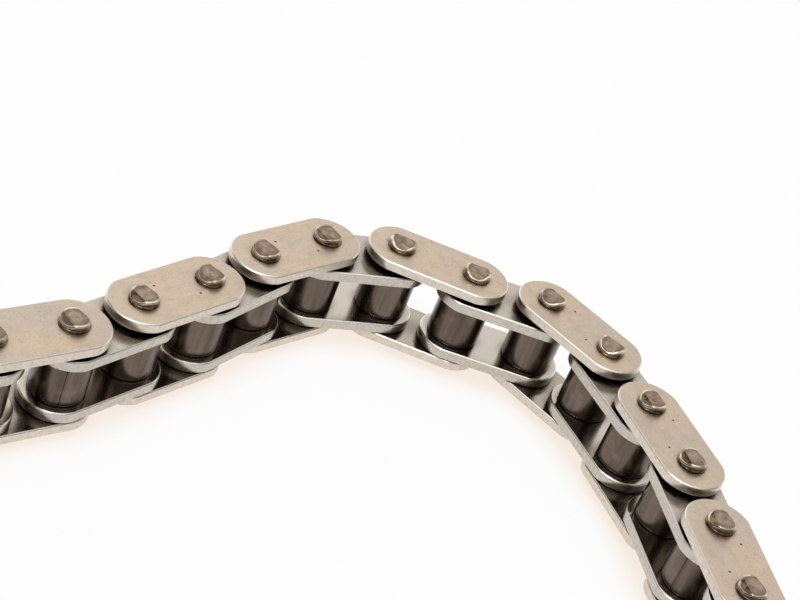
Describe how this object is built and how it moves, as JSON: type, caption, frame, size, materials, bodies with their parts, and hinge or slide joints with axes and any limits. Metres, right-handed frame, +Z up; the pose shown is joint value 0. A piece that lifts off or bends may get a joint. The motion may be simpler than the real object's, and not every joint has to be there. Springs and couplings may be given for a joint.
{
  "type": "timing chain",
  "caption": "Open length of single-strand roller timing chain lying on its side in an arc, with riveted pins, pressed bushes, free rollers and hinged links.",
  "frame": {"origin": "below the middle of the chain's box, level with the lower pin ends it lies on", "axes": "+Z up along the pins, +X along the middle link, the chain's long way"},
  "size_m": [0.0993, 0.0588, 0.0134],
  "materials": {
    "plate_steel": "satin tumbled steel with a faint warm stain",
    "pin_steel": "dark satin hardened steel with bright rims",
    "bush_steel": "smooth hardened steel",
    "roller_steel": "dark polished hardened steel, oiled"
  },
  "bodies": {
    "inner_link_1": {"inner_link_1_plates": "plate_steel", "inner_link_1_bushes": "bush_steel"},
    "outer_link_1": {"outer_link_1_top_plate": "plate_steel", "outer_link_1_bottom_plate": "plate_steel", "outer_link_1_pins": "pin_steel"},
    "inner_link_2": {"inner_link_2_plates": "plate_steel", "inner_link_2_bushes": "bush_steel"},
    "outer_link_2": {"outer_link_2_top_plate": "plate_steel", "outer_link_2_bottom_plate": "plate_steel", "outer_link_2_pins": "pin_steel"},
    "inner_link_3": {"inner_link_3_plates": "plate_steel", "inner_link_3_bushes": "bush_steel"},
    "outer_link_3": {"outer_link_3_top_plate": "plate_steel", "outer_link_3_bottom_plate": "plate_steel", "outer_link_3_pins": "pin_steel"},
    "inner_link_4": {"inner_link_4_plates": "plate_steel", "inner_link_4_bushes": "bush_steel"},
    "outer_link_4": {"outer_link_4_top_plate": "plate_steel", "outer_link_4_bottom_plate": "plate_steel", "outer_link_4_pins": "pin_steel"},
    "inner_link_5": {"inner_link_5_plates": "plate_steel", "inner_link_5_bushes": "bush_steel"},
    "outer_link_5": {"outer_link_5_top_plate": "plate_steel", "outer_link_5_bottom_plate": "plate_steel", "outer_link_5_pins": "pin_steel"},
    "inner_link_6": {"inner_link_6_plates": "plate_steel", "inner_link_6_bushes": "bush_steel"},
    "outer_link_6": {"outer_link_6_top_plate": "plate_steel", "outer_link_6_bottom_plate": "plate_steel", "outer_link_6_pins": "pin_steel"},
    "inner_link_7": {"inner_link_7_plates": "plate_steel", "inner_link_7_bushes": "bush_steel"},
    "outer_link_7": {"outer_link_7_top_plate": "plate_steel", "outer_link_7_bottom_plate": "plate_steel", "outer_link_7_pins": "pin_steel"},
    "inner_link_8": {"inner_link_8_plates": "plate_steel", "inner_link_8_bushes": "bush_steel"},
    "inner_link_1_first_roller": {"inner_link_1_first_roller": "roller_steel"},
    "inner_link_1_second_roller": {"inner_link_1_second_roller": "roller_steel"},
    "inner_link_2_first_roller": {"inner_link_2_first_roller": "roller_steel"},
    "inner_link_2_second_roller": {"inner_link_2_second_roller": "roller_steel"},
    "inner_link_3_first_roller": {"inner_link_3_first_roller": "roller_steel"},
    "inner_link_3_second_roller": {"inner_link_3_second_roller": "roller_steel"},
    "inner_link_4_first_roller": {"inner_link_4_first_roller": "roller_steel"},
    "inner_link_4_second_roller": {"inner_link_4_second_roller": "roller_steel"},
    "inner_link_5_first_roller": {"inner_link_5_first_roller": "roller_steel"},
    "inner_link_5_second_roller": {"inner_link_5_second_roller": "roller_steel"},
    "inner_link_6_first_roller": {"inner_link_6_first_roller": "roller_steel"},
    "inner_link_6_second_roller": {"inner_link_6_second_roller": "roller_steel"},
    "inner_link_7_first_roller": {"inner_link_7_first_roller": "roller_steel"},
    "inner_link_7_second_roller": {"inner_link_7_second_roller": "roller_steel"},
    "inner_link_8_first_roller": {"inner_link_8_first_roller": "roller_steel"},
    "inner_link_8_second_roller": {"inner_link_8_second_roller": "roller_steel"}
  },
  "joints": [
    {"name": "pin_1_hinge", "type": "hinge", "parent": "outer_link_1", "child": "inner_link_1", "pos_m": [-0.03849, -0.01895, 0.0067], "axis": [0, 0, -1], "range_deg": [-95, 85]},
    {"name": "pin_2_hinge", "type": "hinge", "parent": "inner_link_2", "child": "outer_link_1", "pos_m": [-0.032, -0.01199, 0.0067], "axis": [0, 0, 1], "range_deg": [-79, 101]},
    {"name": "pin_3_hinge", "type": "hinge", "parent": "outer_link_2", "child": "inner_link_2", "pos_m": [-0.02695, -0.00391, 0.0067], "axis": [0, 0, -1], "range_deg": [-89, 91]},
    {"name": "pin_4_hinge", "type": "hinge", "parent": "inner_link_3", "child": "outer_link_2", "pos_m": [-0.02176, 0.00408, 0.0067], "axis": [0, 0, 1], "range_deg": [-84, 96]},
    {"name": "pin_5_hinge", "type": "hinge", "parent": "outer_link_3", "child": "inner_link_3", "pos_m": [-0.01744, 0.01257, 0.0067], "axis": [0, 0, -1], "range_deg": [-80, 100]},
    {"name": "pin_6_hinge", "type": "hinge", "parent": "inner_link_4", "child": "outer_link_3", "pos_m": [-0.01171, 0.02017, 0.0067], "axis": [0, 0, 1], "range_deg": [-116, 64]},
    {"name": "pin_7_hinge", "type": "hinge", "parent": "outer_link_4", "child": "inner_link_4", "pos_m": [-0.00322, 0.0245, 0.0067], "axis": [0, 0, -1], "range_deg": [-63, 117]},
    {"name": "pin_8_hinge", "type": "hinge", "parent": "outer_link_4", "child": "inner_link_5", "pos_m": [0.00631, 0.0245, 0.0067], "axis": [0, 0, -1], "range_deg": [-85, 75]},
    {"name": "pin_9_hinge", "type": "hinge", "parent": "inner_link_5", "child": "outer_link_5", "pos_m": [0.01579, 0.02533, 0.0067], "axis": [0, 0, 1], "range_deg": [-53, 127]},
    {"name": "pin_10_hinge", "type": "hinge", "parent": "outer_link_5", "child": "inner_link_6", "pos_m": [0.02387, 0.02028, 0.0067], "axis": [0, 0, -1], "range_deg": [-110, 70]},
    {"name": "pin_11_hinge", "type": "hinge", "parent": "inner_link_6", "child": "outer_link_6", "pos_m": [0.02974, 0.01277, 0.0067], "axis": [0, 0, 1], "range_deg": [-87, 93]},
    {"name": "pin_12_hinge", "type": "hinge", "parent": "outer_link_6", "child": "inner_link_7", "pos_m": [0.0352, 0.00497, 0.0067], "axis": [0, 0, -1], "range_deg": [-101, 79]},
    {"name": "pin_13_hinge", "type": "hinge", "parent": "inner_link_7", "child": "outer_link_7", "pos_m": [0.03907, -0.00373, 0.0067], "axis": [0, 0, 1], "range_deg": [-90, 90]},
    {"name": "pin_14_hinge", "type": "hinge", "parent": "outer_link_7", "child": "inner_link_8", "pos_m": [0.04295, -0.01243, 0.0067], "axis": [0, 0, -1], "range_deg": [-98, 82]},
    {"name": "inner_link_1_first_roller_spin", "type": "hinge", "parent": "inner_link_1", "child": "inner_link_1_first_roller", "pos_m": [-0.04557, -0.02533, 0.0067], "axis": [0, 0, 1], "continuous": true},
    {"name": "inner_link_1_second_roller_spin", "type": "hinge", "parent": "inner_link_1", "child": "inner_link_1_second_roller", "pos_m": [-0.03849, -0.01895, 0.0067], "axis": [0, 0, 1], "continuous": true},
    {"name": "inner_link_2_first_roller_spin", "type": "hinge", "parent": "inner_link_2", "child": "inner_link_2_first_roller", "pos_m": [-0.032, -0.01199, 0.0067], "axis": [0, 0, 1], "continuous": true},
    {"name": "inner_link_2_second_roller_spin", "type": "hinge", "parent": "inner_link_2", "child": "inner_link_2_second_roller", "pos_m": [-0.02695, -0.00391, 0.0067], "axis": [0, 0, 1], "continuous": true},
    {"name": "inner_link_3_first_roller_spin", "type": "hinge", "parent": "inner_link_3", "child": "inner_link_3_first_roller", "pos_m": [-0.02176, 0.00408, 0.0067], "axis": [0, 0, 1], "continuous": true},
    {"name": "inner_link_3_second_roller_spin", "type": "hinge", "parent": "inner_link_3", "child": "inner_link_3_second_roller", "pos_m": [-0.01744, 0.01257, 0.0067], "axis": [0, 0, 1], "continuous": true},
    {"name": "inner_link_4_first_roller_spin", "type": "hinge", "parent": "inner_link_4", "child": "inner_link_4_first_roller", "pos_m": [-0.01171, 0.02017, 0.0067], "axis": [0, 0, 1], "continuous": true},
    {"name": "inner_link_4_second_roller_spin", "type": "hinge", "parent": "inner_link_4", "child": "inner_link_4_second_roller", "pos_m": [-0.00322, 0.0245, 0.0067], "axis": [0, 0, 1], "continuous": true},
    {"name": "inner_link_5_first_roller_spin", "type": "hinge", "parent": "inner_link_5", "child": "inner_link_5_first_roller", "pos_m": [0.00631, 0.0245, 0.0067], "axis": [0, 0, 1], "continuous": true},
    {"name": "inner_link_5_second_roller_spin", "type": "hinge", "parent": "inner_link_5", "child": "inner_link_5_second_roller", "pos_m": [0.01579, 0.02533, 0.0067], "axis": [0, 0, 1], "continuous": true},
    {"name": "inner_link_6_first_roller_spin", "type": "hinge", "parent": "inner_link_6", "child": "inner_link_6_first_roller", "pos_m": [0.02387, 0.02028, 0.0067], "axis": [0, 0, 1], "continuous": true},
    {"name": "inner_link_6_second_roller_spin", "type": "hinge", "parent": "inner_link_6", "child": "inner_link_6_second_roller", "pos_m": [0.02974, 0.01277, 0.0067], "axis": [0, 0, 1], "continuous": true},
    {"name": "inner_link_7_first_roller_spin", "type": "hinge", "parent": "inner_link_7", "child": "inner_link_7_first_roller", "pos_m": [0.0352, 0.00497, 0.0067], "axis": [0, 0, 1], "continuous": true},
    {"name": "inner_link_7_second_roller_spin", "type": "hinge", "parent": "inner_link_7", "child": "inner_link_7_second_roller", "pos_m": [0.03907, -0.00373, 0.0067], "axis": [0, 0, 1], "continuous": true},
    {"name": "inner_link_8_first_roller_spin", "type": "hinge", "parent": "inner_link_8", "child": "inner_link_8_first_roller", "pos_m": [0.04295, -0.01243, 0.0067], "axis": [0, 0, 1], "continuous": true},
    {"name": "inner_link_8_second_roller_spin", "type": "hinge", "parent": "inner_link_8", "child": "inner_link_8_second_roller", "pos_m": [0.04557, -0.02159, 0.0067], "axis": [0, 0, 1], "continuous": true}
  ]
}
